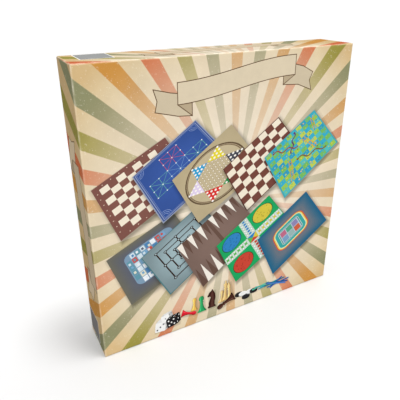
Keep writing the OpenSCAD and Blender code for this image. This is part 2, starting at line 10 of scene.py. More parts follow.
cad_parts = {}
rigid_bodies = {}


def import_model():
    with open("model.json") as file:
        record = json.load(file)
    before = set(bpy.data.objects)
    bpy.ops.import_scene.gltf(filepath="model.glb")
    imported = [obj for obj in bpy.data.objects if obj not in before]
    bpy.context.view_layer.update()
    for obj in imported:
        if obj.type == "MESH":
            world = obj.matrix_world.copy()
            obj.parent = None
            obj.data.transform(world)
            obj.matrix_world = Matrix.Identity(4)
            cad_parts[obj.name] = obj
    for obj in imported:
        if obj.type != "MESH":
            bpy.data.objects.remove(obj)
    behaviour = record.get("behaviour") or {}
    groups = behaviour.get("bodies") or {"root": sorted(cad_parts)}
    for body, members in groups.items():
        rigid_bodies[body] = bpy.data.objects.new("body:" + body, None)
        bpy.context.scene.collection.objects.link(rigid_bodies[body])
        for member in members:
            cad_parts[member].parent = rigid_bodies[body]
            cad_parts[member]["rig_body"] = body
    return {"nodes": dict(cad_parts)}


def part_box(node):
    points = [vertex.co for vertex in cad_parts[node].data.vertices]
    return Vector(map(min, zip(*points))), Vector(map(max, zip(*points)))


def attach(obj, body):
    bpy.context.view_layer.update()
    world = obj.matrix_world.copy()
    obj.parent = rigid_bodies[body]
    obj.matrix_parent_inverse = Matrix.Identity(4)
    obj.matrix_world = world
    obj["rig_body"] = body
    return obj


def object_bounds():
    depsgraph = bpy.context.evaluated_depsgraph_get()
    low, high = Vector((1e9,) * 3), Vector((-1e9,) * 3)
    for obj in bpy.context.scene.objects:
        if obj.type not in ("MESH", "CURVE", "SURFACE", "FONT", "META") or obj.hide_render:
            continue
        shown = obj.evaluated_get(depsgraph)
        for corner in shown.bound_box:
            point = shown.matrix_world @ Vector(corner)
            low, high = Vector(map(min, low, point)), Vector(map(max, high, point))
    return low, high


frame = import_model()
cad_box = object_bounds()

# The box: metres, lid facing -Y, standing on z = 0
LO, HI = (Vector(corner) for corner in cad_box)
WIDE, DEEP, HIGH = HI - LO
MM = 0.001
PROUD = 0.03 * MM  # a print lies this far off its sheet


def lin(rgb):
    """A colour given as 0 to 255, as the shaders take it."""
    part = [c / 255 for c in rgb]
    return tuple(c / 12.92 if c <= 0.04045 else ((c + 0.055) / 1.055) ** 2.4 for c in part)


# Materials


class Look:
    """A material with its nodes. Constants go straight onto the shader's sockets."""

    def __init__(self, name, **constants):
        self.material = bpy.data.materials.new(name)
        self.material.use_nodes = True
        self.tree = self.material.node_tree
        self.tree.nodes.clear()
        self.shader = self.node("ShaderNodeBsdfPrincipled")
        out = self.node("ShaderNodeOutputMaterial")
        self.tree.links.new(self.shader.outputs[0], out.inputs["Surface"])
        for socket, value in constants.items():
            self.shader.inputs[socket.replace("_", " ")].default_value = value
        self.coords = self.node("ShaderNodeTexCoord")
        self.at = self.coords.outputs["Object"]

    def node(self, kind, **settings):
        made = self.tree.nodes.new(kind)
        for key, value in settings.items():
            setattr(made, key, value)
        return made

    def feed(self, socket, value):
        if isinstance(value, bpy.types.NodeSocket):
            self.tree.links.new(value, socket)
        elif value is not None:
            socket.default_value = value

    def math(self, operation, a, b=None, c=None, clamp=False):
        made = self.node("ShaderNodeMath", operation=operation, use_clamp=clamp)
        for socket, value in zip(made.inputs, (a, b, c)):
            self.feed(socket, value)
        return made.outputs[0]

    def split(self, vector):
        made = self.node("ShaderNodeSeparateXYZ")
        self.feed(made.inputs[0], vector)
        return made.outputs[0], made.outputs[1], made.outputs[2]

    def join(self, x, y, z):
        made = self.node("ShaderNodeCombineXYZ")
        for socket, value in zip(made.inputs, (x, y, z)):
            self.feed(socket, value)
        return made.outputs[0]

    def scaled(self, vector, factors):
        made = self.node("ShaderNodeVectorMath", operation="MULTIPLY")
        self.feed(made.inputs[0], vector)
        made.inputs[1].default_value = factors
        return made.outputs[0]

    def noise(self, scale, detail=2.0, rough=0.5, at=None, distortion=0.0):
        made = self.node("ShaderNodeTexNoise")
        self.feed(made.inputs["Vector"], at or self.at)
        made.inputs["Scale"].default_value = scale
        made.inputs["Detail"].default_value = detail
        made.inputs["Roughness"].default_value = rough
        made.inputs["Distortion"].default_value = distortion
        return made.outputs["Fac"]

    def spots(self, scale, at=None):
        made = self.node("ShaderNodeTexVoronoi")
        self.feed(made.inputs["Vector"], at or self.at)
        made.inputs["Scale"].default_value = scale
        return made.outputs["Distance"], made.outputs["Color"]

    def remap(self, value, low, high, to_low=0.0, to_high=1.0, smooth=False):
        made = self.node("ShaderNodeMapRange")
        if smooth:
            made.interpolation_type = "SMOOTHSTEP"
        for socket, v in zip(made.inputs, (value, low, high, to_low, to_high)):
            self.feed(socket, v)
        return made.outputs[0]

    def ramp(self, value, stops, constant=False):
        made = self.node("ShaderNodeValToRGB")
        ramp = made.color_ramp
        ramp.interpolation = "CONSTANT" if constant else "LINEAR"
        while len(ramp.elements) < len(stops):
            ramp.elements.new(0.5)
        for element, (place, rgb) in zip(ramp.elements, stops):
            element.position = place
            element.color = (*lin(rgb), 1)
        self.feed(made.inputs[0], value)
        return made.outputs[0]

    def mix(self, factor, a, b, blend="MIX"):
        made = self.node("ShaderNodeMix", data_type="RGBA", blend_type=blend)
        self.feed(made.inputs[0], factor)
        self.feed(made.inputs[6], a)
        self.feed(made.inputs[7], b)
        return made.outputs[2]

    def levels(self, value, stops):
        """A curve through plain numbers from 0 to 1."""
        made = self.node("ShaderNodeValToRGB")
        elements = made.color_ramp.elements
        while len(elements) < len(stops):
            elements.new(0.5)
        for element, (place, level) in zip(elements, stops):
            element.position = place
            element.color = (level, level, level, 1)
        self.feed(made.inputs[0], value)
        return made.outputs[0]

    def shade(self, colour, amount):
        """The colour times a grey amount."""
        return self.mix(1.0, colour, self.join(amount, amount, amount), "MULTIPLY")

    def attribute(self, name):
        return self.node("ShaderNodeAttribute", attribute_name=name)

    def bump(self, height, strength, distance, over=None):
        made = self.node("ShaderNodeBump")
        self.feed(made.inputs["Height"], height)
        made.inputs["Strength"].default_value = strength
        made.inputs["Distance"].default_value = distance
        if over is not None:
            self.feed(made.inputs["Normal"], over)
        return made.outputs[0]

    def finish(self, colour, roughness=None, normal=None):
        self.feed(self.shader.inputs["Base Color"], colour)
        if roughness is not None:
            self.feed(self.shader.inputs["Roughness"], roughness)
        if normal is not None:
            self.feed(self.shader.inputs["Normal"], normal)
        return self.material


# The sunburst print: cream that darkens outwards, and four inks that fade in, by distance in metres
CREAMS = [(0.0, (244, 234, 216)), (0.11, (232, 216, 190)), (0.14, (228, 211, 180)), (0.16, (222, 201, 162)),
          (0.18, (213, 183, 134))]
INKS = [(203, 145, 70), (207, 110, 68), (156, 147, 70), (142, 142, 106)]
INK_DEPTHS = [(0.0, 0.15), (0.05, 0.25), (0.1, 0.43), (0.125, 0.57), (0.14, 0.71), (0.16, 0.92), (0.17, 1.0)]
PRINT_REACH = 0.2
SUN = Vector((2.8 * MM, 0, 134.5 * MM))
TOP_SUN = Vector((-6.6 * MM, 0, HI.z - 40.6 * MM))  # the upper wall has rays of its own, from below its edge
TOP_ZOOM, TOP_PAINTED_SHADE = 1.35, 0.81  # they are drawn smaller, and the upper wall is darkened by this factor as painted shade
SIDE_PAINTED_SHADE = 0.07  # painted shade: the side walls get a darker, yellower cream and deeper inks, as if they lay this share of the reach further out
RAY_PITCH, RAY_WIDTH = 10.0, 0.48


def sunburst(look):
    """The ray pattern, which runs on over the side edges as if the lid were unfolded."""
    x, y, z = look.split(look.at)
    nx, _, nz = look.split(look.coords.outputs["Normal"])
    back = look.math("SUBTRACT", y, LO.y)
    on_top = look.math("GREATER_THAN", nz, 0.5)
    sun_x = look.math("MULTIPLY_ADD", on_top, TOP_SUN.x - SUN.x, SUN.x)
    sun_z = look.math("MULTIPLY_ADD", on_top, TOP_SUN.z - SUN.z, SUN.z)
    u = look.math("SUBTRACT", look.math("MULTIPLY_ADD", nx, back, x), sun_x)
    v = look.math("SUBTRACT", look.math("MULTIPLY_ADD", nz, back, z), sun_z)
    far = look.math("SQRT", look.math("ADD", look.math("MULTIPLY", u, u), look.math("MULTIPLY", v, v)))
    far = look.math("MULTIPLY", far, look.math("MULTIPLY_ADD", on_top, TOP_ZOOM - 1, 1.0))
    turn = look.math("DEGREES", look.math("ARCTAN2", u, v))
    turn = look.math("FLOORED_MODULO", turn, 360.0)
    # the four inks take turns, with a jump of two where the halves meet
    half = RAY_PITCH / 2
    right = look.math("MULTIPLY", look.math("GREATER_THAN", turn, half), look.math("LESS_THAN", turn, 180 + half))
    step = look.math("DIVIDE", look.math("MULTIPLY_ADD", right, 2 * RAY_PITCH, turn), RAY_PITCH)
    which = look.math("FRACT", look.math("DIVIDE", look.math("ADD", step, 0.5), 4.0))
    ray = look.ramp(which, [(i / 4, rgb) for i, rgb in enumerate(INKS)], constant=True)
    across = look.math("ABSOLUTE", look.math("SUBTRACT", look.math("FRACT", look.math("ADD", step, 0.5)), 0.5))
    on_ray = look.remap(across, RAY_WIDTH / 2 - 0.01, RAY_WIDTH / 2 + 0.01, 1.0, 0.0)
    reach = look.math("DIVIDE", far, PRINT_REACH)
    # painted shade: the side walls are printed as if further out, so darker and yellower
    reach = look.math("MULTIPLY_ADD", look.math("ABSOLUTE", nx), SIDE_PAINTED_SHADE, reach)
    ground = look.ramp(reach, [(d / PRINT_REACH, rgb) for d, rgb in CREAMS])
    depth = look.levels(reach, [(d / PRINT_REACH, level) for d, level in INK_DEPTHS])
    flat = look.mix(look.math("MULTIPLY", on_ray, depth), ground, ray)
    # a rubbed, slightly blotchy print with pale flecks, and painted shade that darkens the upper wall
    blotch_and_top_shade = look.remap(look.noise(38, 5, 0.62), 0.3, 0.72, 0.93, 1.05)
    # painted shade: the print on the upper wall is multiplied darker
    blotch_and_top_shade = look.math("MULTIPLY", blotch_and_top_shade, look.math("MULTIPLY_ADD", on_top, TOP_PAINTED_SHADE - 1, 1.0))
    fleck = look.math(
        "MAXIMUM",
        look.remap(look.noise(420, 3, 0.6), 0.64, 0.72, 0.0, 0.3),
        look.remap(look.noise(1100, 2, 0.5), 0.68, 0.74, 0.0, 0.5),
    )
    return look.mix(fleck, look.shade(flat, blotch_and_top_shade), (*lin((252, 244, 226)), 1)), far


def paper_normal(look, strength=0.12):
    """The tooth of varnished paper."""
    tooth = look.noise(2600, 3, 0.6)
    waves = look.noise(26, 2, 0.5)
    return look.bump(tooth, strength, 0.00004, over=look.bump(waves, 0.18, 0.0012))


def wrap_look(name):
    look = Look(name, Coat_Weight=0.04, Coat_Roughness=0.3, Specular_IOR_Level=0.0)
    colour, _ = sunburst(look)
    x, y, z = look.split(look.at)
    # rubbed edges with a painted highlight: the print is a little paler where two faces meet
    near = look.math("SUBTRACT", look.math("ABSOLUTE", x), HI.x - 1.6 * MM)
    near_top = look.math("SUBTRACT", z, HI.z - 1.6 * MM)
    near_front = look.math("SUBTRACT", LO.y + 1.6 * MM, y)
    edges = look.math("MAXIMUM", look.math("MINIMUM", near, near_front), look.math("MAXIMUM",
                      look.math("MINIMUM", near, near_top), look.math("MINIMUM", near_top, near_front)))
    wear_and_highlight = look.remap(edges, 0.0, 1.3 * MM, 0.0, 1.0)
    wear_and_highlight = look.math("MULTIPLY", wear_and_highlight, look.remap(look.noise(140, 4, 0.7), 0.4, 0.7, 0.1, 0.55))
    colour = look.mix(wear_and_highlight, colour, (*lin((246, 236, 214)), 1))
    return look.finish(colour, look.remap(look.noise(60, 3), 0.3, 0.7, 0.46, 0.56), paper_normal(look))


def inked_look(name, ground=None):
    """Artwork from a print's own attributes, over the sunburst or over nothing."""
    look = Look(name, Coat_Weight=0.04, Coat_Roughness=0.3, Specular_IOR_Level=0.0)
    ink = look.attribute("ink")
    spot = look.attribute("spot")
    u, v, edge = look.split(spot.outputs["Vector"])
    # spot holds a place on its board, 0 to 1 each way, and how far the board darkens towards its edge
    du = look.math("SUBTRACT", u, 0.5)
    dv = look.math("SUBTRACT", v, 0.5)
    out = look.math("SQRT", look.math("ADD", look.math("MULTIPLY", du, du), look.math("MULTIPLY", dv, dv)))
    glow = look.math("MULTIPLY", edge, look.remap(out, 0.12, 0.62, -0.5, 0.5, smooth=True))
    colour = look.shade(ink.outputs["Color"], look.math("SUBTRACT", 1.0, glow))
    if ground:
        colour = look.mix(ink.outputs["Alpha"], sunburst(look)[0], colour)
    cast = look.attribute("cast")
    colour = look.shade(colour, look.math("SUBTRACT", 1.0, cast.outputs["Fac"]))
    mottle = look.remap(look.noise(90, 4, 0.6), 0.3, 0.7, 0.97, 1.03)
    return look.finish(look.shade(colour, mottle), look.remap(look.noise(60, 3), 0.3, 0.7, 0.44, 0.54), paper_normal(look))


def paper_look(name, rgb, fibre=0.06, rough=0.6):
    look = Look(name, Specular_IOR_Level=0.35)
    mottle = look.remap(look.noise(120, 5, 0.65), 0.3, 0.7, 1 - fibre, 1 + fibre)
    fleck = look.remap(look.noise(900, 2, 0.5), 0.62, 0.72, 0.0, fibre * 1.5)
    colour = look.shade((*lin(rgb), 1), look.math("SUBTRACT", mottle, fleck))
    return look.finish(colour, look.remap(look.noise(200, 2), 0.3, 0.7, rough - 0.05, rough + 0.08), paper_normal(look, 0.2))


def greyboard_look(name):
    """Recycled board: grey, with dark and pale fibres."""
    look = Look(name, Specular_IOR_Level=0.2)
    mottle = look.remap(look.noise(160, 6, 0.7), 0.3, 0.7, 0.86, 1.1)
    hair = look.noise(300, 3, 0.7, at=look.scaled(look.at, (1.0, 8.0, 2.2)), distortion=1.2)
    colour = look.shade((*lin((176, 168, 154)), 1), mottle)
    colour = look.mix(look.remap(hair, 0.6, 0.7, 0.0, 0.35), colour, (*lin((104, 97, 88)), 1))
    colour = look.mix(look.remap(look.noise(700, 2), 0.66, 0.74, 0.0, 0.4), colour, (*lin((222, 214, 198)), 1))
    return look.finish(colour, look.remap(look.noise(90, 2), 0.3, 0.7, 0.82, 0.95), look.bump(look.noise(1400, 4, 0.7), 0.4, 0.0001))


def tray_look(name):
    """Thermoformed sheet: dark, satin, with a faint orange peel."""
    look = Look(name, Coat_Weight=0.15, Coat_Roughness=0.35, Specular_IOR_Level=0.5)
    colour = look.ramp(look.noise(45, 4, 0.6), [(0.3, (34, 32, 31)), (0.7, (46, 43, 41))])
    peel = look.bump(look.noise(700, 2, 0.5), 0.22, 0.00012, over=look.bump(look.noise(60, 2), 0.2, 0.0006))
    return look.finish(colour, look.remap(look.noise(160, 3), 0.3, 0.7, 0.36, 0.5), peel)


def wood_look(name, pale, dark, grain_axis):
    """Turned and varnished wood with its grain along the length of the men."""
    look = Look(name, Coat_Weight=0.15, Coat_Roughness=0.22, Specular_IOR_Level=0.35)
    stretch = [260.0, 260.0, 260.0]
    stretch[grain_axis] = 22.0
    along = look.scaled(look.at, tuple(stretch))
    grain = look.noise(1.0, 6, 0.62, at=along, distortion=0.8)
    pores = look.noise(4.0, 2, 0.5, at=along)
    colour = look.ramp(grain, [(0.28, dark), (0.5, pale), (0.75, tuple(min(255, c * 1.08) for c in pale))])
    colour = look.mix(look.remap(pores, 0.62, 0.72, 0.0, 0.45), colour, (*lin(dark), 1))
    return look.finish(colour, look.remap(grain, 0.3, 0.7, 0.34, 0.46), look.bump(pores, 0.12, 0.00008))


def plastic_look(name, rgb, pip=None):
    """Moulded plastic. Dice also get their sunk pips painted, found by how deep a point lies in its die."""
    look = Look(name, Coat_Weight=0.25, Coat_Roughness=0.12, Specular_IOR_Level=0.5)
    tint = look.remap(look.noise(110, 4, 0.6), 0.3, 0.7, 0.95, 1.04)
    colour = look.shade((*lin(rgb), 1), tint)
    if pip:
        low, high, count, ink = pip
        edge = high.z - low.z
        x, y, z = look.split(look.at)
        pitch = (high.x - low.x - edge) / (count - 1)
        cell = look.math("DIVIDE", look.math("SUBTRACT", x, low.x + edge / 2 - pitch / 2), pitch)
        dx = look.math("MULTIPLY", look.math("SUBTRACT", look.math("FRACT", cell), 0.5), pitch)
        dy = look.math("SUBTRACT", y, (low.y + high.y) / 2)
        dz = look.math("SUBTRACT", z, (low.z + high.z) / 2)
        most = look.math("MAXIMUM", look.math("ABSOLUTE", dx), look.math("MAXIMUM", look.math("ABSOLUTE", dy), look.math("ABSOLUTE", dz)))
        squares = [look.math("MULTIPLY", d, d) for d in (dx, dy, dz)]
        reach = look.math("SQRT", look.math("ADD", squares[0], look.math("ADD", squares[1], squares[2])))
        sunk = look.math("MULTIPLY", look.math("LESS_THAN", most, edge * 0.497), look.math("LESS_THAN", reach, edge * 0.703))
        colour = look.mix(sunk, colour, (*lin(ink), 1))
    return look.finish(colour, look.remap(look.noise(300, 3), 0.3, 0.7, 0.2, 0.3), look.bump(look.noise(900, 2), 0.05, 0.00005))


def wire_look(name):
    look = Look(name, Metallic=1.0)
    draw = look.noise(1.0, 3, 0.6, at=look.scaled(look.at, (4000.0, 4000.0, 300.0)))
    colour = look.ramp(draw, [(0.3, (168, 168, 172)), (0.7, (206, 206, 210))])
    return look.finish(colour, look.remap(draw, 0.3, 0.7, 0.22, 0.38))


# Flat artwork


class Print:
    """Polygons in painter's order, in millimetres on a sheet, cut into one flat mesh."""

    def __init__(self, limits=None):
        self.shapes = []  # (points, ink, chart, darkening)
        self.casts = []  # (order, polygon, strength, blur)
        self.limits = limits  # the sheet's lower and upper corner
        self.whole()

    def whole(self):
        """Later shapes are drawn in the sheet's own millimetres."""
        self.frame((0, 0), (1, 0), (0, 1))

    def frame(self, corner, right, up):
        """Later shapes are drawn in a square, 0 to 1 each way, set on the sheet by one corner and two edges."""
        self.chart = np.array([(right[0], up[0], corner[0]), (right[1], up[1], corner[1]), (0, 0, 1)], float)

    def quad(self, foot, right, top, left):
        """Later shapes are drawn in a square, 0 to 1 each way, seen aslant with its corners at four places."""
        foot, right, top, left = (np.array(p, float) for p in (foot, right, top, left))
        g, h = np.linalg.solve(np.stack([right - top, left - top], 1), foot - right + top - left)
        self.chart = np.vstack([np.stack([right - foot + g * right, left - foot + h * left, foot], 1), (g, h, 1)])

    @staticmethod
    def through(chart, points):
        points = np.array(points, float)
        out = np.column_stack([points, np.ones(len(points))]) @ chart.T
        return out[:, :2] / out[:, 2:]

    def place(self, points):
        return self.through(self.chart, points)

    def poly(self, points, ink, dark=0.0):
        self.shapes.append((self.place(points), None if ink is None else lin(ink), self.chart, dark))

    def rect(self, x0, y0, x1, y1, ink, dark=0.0):
        self.poly([(x0, y0), (x1, y0), (x1, y1), (x0, y1)], ink, dark)

    def round(self, x0, y0, x1, y1, r, ink, dark=0.0, n=6):
        corners = ((x1 - r, y1 - r, 0), (x0 + r, y1 - r, 1), (x0 + r, y0 + r, 2), (x1 - r, y0 + r, 3))
        self.poly([(cx + r * math.cos((q + i / n) * math.pi / 2), cy + r * math.sin((q + i / n) * math.pi / 2))
                   for cx, cy, q in corners for i in range(n + 1)], ink, dark)

    def disc(self, cx, cy, r, ink, dark=0.0, n=20, ry=None):
        ry = ry or r
        self.poly([(cx + r * math.cos(i * 2 * math.pi / n), cy + ry * math.sin(i * 2 * math.pi / n))
                   for i in range(n)], ink, dark)

    def stroke(self, points, width, ink, closed=False, dark=0.0):
        p = np.array(points, float)
        ahead = np.roll(p, -1, 0) - p
        ahead /= np.maximum(np.linalg.norm(ahead, axis=1, keepdims=True), 1e-9)
        before = np.roll(ahead, 1, 0)
        if not closed:
            before[0], ahead[-1] = ahead[0], before[-1]
        side = np.stack([-(before + ahead)[:, 1], (before + ahead)[:, 0]], 1)
        side /= np.maximum(np.linalg.norm(side, axis=1, keepdims=True), 1e-9)
        mitre = np.maximum(0.35, np.abs(side[:, 0] * -ahead[:, 1] + side[:, 1] * ahead[:, 0]))
        side *= (width / 2 / mitre)[:, None]
        for i in range(len(p) if closed else len(p) - 1):
            j = (i + 1) % len(p)
            self.poly([p[i] - side[i], p[j] - side[j], p[j] + side[j], p[i] + side[i]], ink, dark)

    def cast(self, points, strength=0.55, blur=5.0, shift=(1.6, -1.9)):
        """A printed shadow that a picture throws on what lies under it. Comes before the picture's own shapes."""
        self.casts.append((len(self.shapes), self.place(points) + np.array(shift), strength, blur))

    @staticmethod
    def beyond(polygon, points):
        """How far points lie outside a convex polygon."""
        turn = polygon[1:2] - polygon[0:1], polygon[2:3] - polygon[1:2]
        sense = 1 if (turn[0][:, 0] * turn[1][:, 1] - turn[0][:, 1] * turn[1][:, 0])[0] > 0 else -1
        ends = np.roll(polygon, -1, 0)
        along = (ends - polygon) / np.linalg.norm(ends - polygon, axis=1, keepdims=True)
        out = np.stack([along[:, 1], -along[:, 0]], 1) * sense
        each = (points[:, None, :] - polygon[None]) * out[None]
        return np.sqrt((np.maximum(each.sum(2), 0) ** 2).sum(1))

    @staticmethod
    def grown(polygon, by):
        middle = polygon.mean(0)
        ends = np.roll(polygon, -1, 0)
        (px, py), (qx, qy) = polygon[1] - polygon[0], polygon[2] - polygon[1]
        sense = 1 if px * qy > py * qx else -1
        along = (ends - polygon) / np.linalg.norm(ends - polygon, axis=1, keepdims=True)
        out = np.stack([along[:, 1], -along[:, 0]], 1) * sense
        moved = []
        for i in range(len(polygon)):
            a, b = out[i - 1], out[i]
            moved.append(polygon[i] + (a + b) * by / max(0.3, 1 + float(a @ b)))
        return np.array(moved)

    def mesh(self, name, origin, right, up):
        """The flat mesh, with its inks, places and shadows as attributes of its corners."""
        guides = []
        for order, polygon, strength, blur in self.casts:
            for share in (-0.15, 0.15, 0.4, 0.7, 1.0):
                guides.append(self.grown(polygon, share * blur))
        if self.limits:
            guides = [np.clip(guide, *self.limits) for guide in guides]
        shapes = [(guide, None, None, 0.0) for guide in guides] + self.shapes
        first = len(guides)
        points, edges = [], []
        for outline, _, _, _ in shapes:
            n = len(points)
            points.extend(Vector(p) for p in outline)
            edges.extend((n + k, n + (k + 1) % len(outline)) for k in range(len(outline)))
        verts, _, cells, _, _, _ = delaunay_2d_cdt(points, edges, [], 0, 1e-4, False)
        flat = np.array([tuple(v) for v in verts])
        cells = np.array(cells)
        middle = flat[cells].mean(1)
        top = np.full(len(cells), -2)
        for order, (outline, ink, _, _) in enumerate(shapes):
            near = np.flatnonzero(((middle > outline.min(0)) & (middle < outline.max(0))).all(1))
            inside = np.zeros(len(near), bool)
            x, y = middle[near].T
            for (ax, ay), (bx, by) in zip(outline, np.roll(outline, -1, 0)):
                if ay != by:
                    inside ^= ((ay > y) != (by > y)) & (x < (bx - ax) * (y - ay) / (by - ay) + ax)
            hit = near[inside]
            top[hit] = np.maximum(top[hit], -1 if ink is None else order)
        kept, tops = cells[top > -2].tolist(), top[top > -2]
        right, up, origin = Vector(right), Vector(up), Vector(origin)
        mesh = bpy.data.meshes.new(name)
        mesh.from_pydata([origin + right * float(x) * MM + up * float(y) * MM for x, y in flat], [], kept)
        corner_at = np.array([flat[v] for cell in kept for v in cell])
        corner_top = np.repeat(tops, 3)
        ink = np.zeros((len(corner_at), 4))
        spot = np.zeros((len(corner_at), 3))
        for top in np.unique(corner_top):
            if top < 0:
                continue
            mine = corner_top == top
            _, colour, chart, dark = shapes[top]
            ink[mine] = (*colour, 1)
            spot[mine, :2] = self.through(np.linalg.inv(chart), corner_at[mine])
            spot[mine, 2] = dark
        lit = np.ones(len(corner_at))
        for order, polygon, strength, blur in self.casts:
            under = corner_top < first + order
            away = self.beyond(polygon, corner_at[under])
            lit[under] *= 1 - strength * np.clip(1 - away / blur, 0, 1) ** 1.6
        mesh.attributes.new("ink", "FLOAT_COLOR", "CORNER").data.foreach_set("color", ink.ravel())
        mesh.attributes.new("spot", "FLOAT_VECTOR", "CORNER").data.foreach_set("vector", spot.ravel())
        mesh.attributes.new("cast", "FLOAT", "CORNER").data.foreach_set("value", 1 - lit)
        mesh.update()
        return mesh

    def lay(self, name, origin, right, up, body, material):
        piece = bpy.data.objects.new(name, self.mesh(name, origin, right, up))
        bpy.context.collection.objects.link(piece)
        piece.data.materials.append(material)
        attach(piece, body)
        return piece


BROWN, CREAM, INK = (130, 86, 77), (240, 229, 208), (52, 38, 32)


def chequers(a, x0, y0, x1, y1, n, pale, shift=0):
    w, h = (x1 - x0) / n, (y1 - y0) / n
    for i in range(n):
        for j in range(n):
            if (i + j + shift) % 2 == 0:
                a.rect(x0 + i * w, y0 + j * h, x0 + (i + 1) * w, y0 + (j + 1) * h, pale)


def draw_chess(a):
    a.rect(0, 0, 1, 1, BROWN, 0.12)
    edge = 0.075
    cell = (1 - 2 * edge) / 8
    chequers(a, edge, edge, 1 - edge, 1 - edge, 8, CREAM, 1)
    for i in range(8):
        t = edge + (i + 0.5) * cell
        for x, y in ((t, edge / 2), (t, 1 - edge / 2), (edge / 2, t), (1 - edge / 2, t)):
            a.disc(x, y, 0.007, (226, 202, 178), n=8)


def draw_draughts(a):
    edge = 0.014
    a.rect(0, 0, 1, 1, (96, 56, 48), 0.12)
    a.rect(edge, edge, 1 - edge, 1 - edge, (116, 70, 60))
    chequers(a, edge, edge, 1 - edge, 1 - edge, 8, CREAM)


def draw_alquerque(a):
    """Crossed lines of the fox and geese kind: five squares, each with its diagonals."""
    a.rect(0, 0, 1, 1, (150, 158, 178))
    a.rect(0.014, 0.014, 0.986, 0.986, (52, 76, 140))
    a.rect(0.026, 0.026, 0.974, 0.974, (132, 148, 184))
    a.rect(0.038, 0.038, 0.962, 0.962, (54, 80, 150))
    a.rect(0.046, 0.046, 0.954, 0.954, (112, 132, 178))
    a.rect(0.052, 0.052, 0.948, 0.948, (58, 87, 156), 0.2)
    for sx in (0, 1):
        for sy in (0, 1):
            for k in range(3):
                r = 0.04 + 0.022 * k
                q = [(abs(sx - 0.06 - r * math.cos(t * math.pi / 12)), abs(sy - 0.06 - r * math.sin(t * math.pi / 12)))
                     for t in range(7)]
                a.stroke(q, 0.005, (146, 166, 208))
    s = 0.13
    red, green, aqua = (206, 74, 70), (104, 176, 156), (118, 160, 200)
    squares = [(-2, 0, green), (2, 0, green), (0, 2, red), (0, -2, aqua), (0, 0, aqua)]
    for gx, gy, ink in squares:
        cx, cy = 0.5 + gx * s, 0.5 + gy * s
        for k in (-1, 0, 1):
            a.stroke([(cx - s, cy + k * s), (cx + s, cy + k * s)], 0.005, ink)
            a.stroke([(cx + k * s, cy - s), (cx + k * s, cy + s)], 0.005, ink)
        for k in (-1, 1):
            a.stroke([(cx - s, cy - k * s), (cx + s, cy + k * s)], 0.0045, ink)
    for i in range(-3, 4):
        for j in range(-3, 4):
            if abs(i) <= 1 or abs(j) <= 1:
                a.disc(0.5 + i * s, 0.5 + j * s, 0.009, (232, 238, 246), n=8)


def draw_star(a):
    """A six-pointed star of holes in a ring."""
    sand, hole = (189, 173, 138), (248, 244, 236)
    a.rect(0, 0, 1, 1, sand, 0.12)
    for r, ink in ((0.45, (100, 82, 62)), (0.428, sand), (0.422, (126, 106, 82)), (0.408, (195, 180, 146))):
        a.disc(0.5, 0.5, r, ink, n=48)
    pitch = 0.0605
    row_pitch = pitch * math.sqrt(3) / 2
    tip, waist = 8.24 * row_pitch, 4.4 * pitch
    for k, ink in enumerate([(72, 74, 84), (228, 212, 52), (52, 158, 206), (222, 206, 232), (212, 50, 46), (36, 150, 84)]):
        turns = [math.radians(60 * k + lean) for lean in (0, -30, 30)]
        a.poly([(0.5 + r * math.cos(t), 0.5 + r * math.sin(t)) for r, t in zip((tip, waist, waist), turns)], ink)
    for row, count in enumerate((1, 2, 3, 4, 13, 12, 11, 10, 9, 10, 11, 12, 13, 4, 3, 2, 1)):
        for i in range(count):
            off = i - (count - 1) / 2
            x, y = 0.5 + (row - 8) * row_pitch, 0.5 + off * pitch
            inside = abs(row - 8) <= 4 and abs(off) * 2 <= 8 - abs(row - 8)
            a.disc(x, y, 0.0165, (128, 104, 78) if inside else hole, n=10)
            if inside:
                a.disc(x, y, 0.0125, (238, 228, 206), n=10)


def draw_ladders(a):
    rng = random.Random(5)
    a.rect(0, 0, 1, 1, (66, 168, 180))
    greens = [(152, 196, 84), (118, 184, 98), (190, 204, 88)]
    blues = [(60, 172, 200), (52, 156, 190), (88, 188, 188)]
    for i in range(10):
        for j in range(10):
            ink = rng.choice(greens if (i + j) % 2 else blues)
            x, y = 0.02 + i * 0.096, 0.02 + j * 0.096
            a.rect(x + 0.002, y + 0.002, x + 0.094, y + 0.094, ink)
            for _ in range(2):
                spot = x + 0.02 + 0.056 * rng.random(), y + 0.02 + 0.056 * rng.random()
                a.disc(*spot, rng.uniform(0.008, 0.016), rng.choice(greens + blues + [(110, 96, 62), (232, 190, 84)]), n=6)
    for x0, y0, x1, y1 in ((0.2, 0.12, 0.3, 0.52), (0.72, 0.3, 0.62, 0.68), (0.84, 0.62, 0.9, 0.93)):
        dx, dy = x1 - x0, y1 - y0
        long = math.hypot(dx, dy)
        sx, sy = -dy / long * 0.022, dx / long * 0.022
        for s in (-1, 1):
            a.stroke([(x0 + s * sx, y0 + s * sy), (x1 + s * sx, y1 + s * sy)], 0.009, (214, 150, 52))
        for k in range(1, 7):
            t = k / 7
            a.stroke([(x0 + dx * t - sx, y0 + dy * t - sy), (x0 + dx * t + sx, y0 + dy * t + sy)], 0.008, (214, 150, 52))
    snakes = (((0.14, 0.9), (0.5, 0.62), (146, 84, 62)), ((0.4, 0.4), (0.84, 0.14), (126, 92, 58)), ((0.55, 0.92), (0.36, 0.6), (98, 64, 110)))
    for (x0, y0), (x1, y1), ink in snakes:
        path = []
        dx, dy = x1 - x0, y1 - y0
        for k in range(25):
            t = k / 24
            w = 0.035 * math.sin(t * 4 * math.pi) * (1 - 0.4 * t)
            path.append((x0 + dx * t - dy * w * 2, y0 + dy * t + dx * w * 2))
        a.stroke(path, 0.022, ink)
        a.disc(x0, y0, 0.02, ink, n=12)


def graded(a, edge, outer, inner, steps=7):
    """A ground whose colour runs from its edge inwards in soft steps."""
    a.rect(0, 0, 1, 1, outer)
    for k in range(1, steps + 1):
        inset = edge + 0.13 * (k - 1) / (steps - 1)
        share = k / steps
        ink = tuple(o + (i - o) * share for o, i in zip(outer, inner))
        a.round(inset, inset, 1 - inset, 1 - inset, 0.01 + 0.12 * share, ink, n=4)


